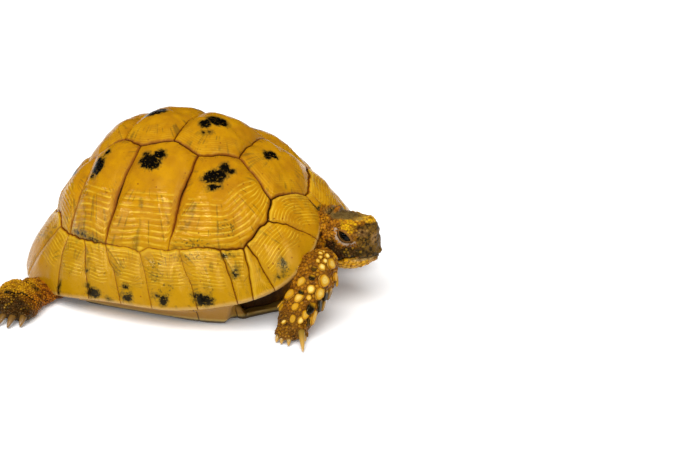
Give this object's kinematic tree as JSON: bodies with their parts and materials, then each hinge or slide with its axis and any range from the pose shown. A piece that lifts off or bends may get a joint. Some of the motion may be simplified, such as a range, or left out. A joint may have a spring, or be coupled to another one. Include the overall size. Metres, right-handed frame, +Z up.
{
  "type": "spur-thighed tortoise",
  "caption": "Life-size golden tortoise resting on its plastron, head drawn in under a fold of neck skin, one foreleg forward and the hind legs out to the sides.",
  "frame": {"origin": "middle of the animal's bounding box in plan, on the floor under the plastron", "axes": "+X towards the head, +Y towards the animal's left side, +Z up"},
  "size_m": [0.1792, 0.1745, 0.0831],
  "materials": {
    "carapace": "glossy golden-yellow horn with growth rings, brown seams and black blotches",
    "plastron": "dull olive-yellow horn with dark patches",
    "skin": "folded grey-brown to ochre skin with fine pebbly scales",
    "scaly_skin": "pale yellow and dark brown overlapping scales over brown skin",
    "eye": "wet glossy black"
  },
  "bodies": {
    "root": {"cervical": "carapace", "vertebral_1": "carapace", "vertebral_2": "carapace", "vertebral_3": "carapace", "vertebral_4": "carapace", "vertebral_5": "carapace", "supracaudal": "carapace", "costal_left_1": "carapace", "costal_left_2": "carapace", "costal_left_3": "carapace", "costal_left_4": "carapace", "marginal_left_1": "carapace", "marginal_left_2": "carapace", "marginal_left_3": "carapace", "marginal_left_4": "carapace", "marginal_left_5": "carapace", "marginal_left_6": "carapace", "marginal_left_7": "carapace", "marginal_left_8": "carapace", "marginal_left_9": "carapace", "marginal_left_10": "carapace", "marginal_left_11": "carapace", "costal_right_1": "carapace", "costal_right_2": "carapace", "costal_right_3": "carapace", "costal_right_4": "carapace", "marginal_right_1": "carapace", "marginal_right_2": "carapace", "marginal_right_3": "carapace", "marginal_right_4": "carapace", "marginal_right_5": "carapace", "marginal_right_6": "carapace", "marginal_right_7": "carapace", "marginal_right_8": "carapace", "marginal_right_9": "carapace", "marginal_right_10": "carapace", "marginal_right_11": "carapace", "gular_left": "plastron", "gular_right": "plastron", "humeral_left": "plastron", "humeral_right": "plastron", "pectoral_left": "plastron", "pectoral_right": "plastron", "abdominal_left": "plastron", "abdominal_right": "plastron", "femoral_left": "plastron", "femoral_right": "plastron", "anal_left": "plastron", "anal_right": "plastron", "trunk": "skin", "neck": "skin", "tail": "skin", "head": "scaly_skin", "lower_jaw": "scaly_skin", "foreleg_right": "scaly_skin", "foreleg_left": "scaly_skin", "hind_leg_right": "scaly_skin", "hind_leg_left": "scaly_skin", "eye_left": "eye", "eye_right": "eye"}
  },
  "joints": []
}
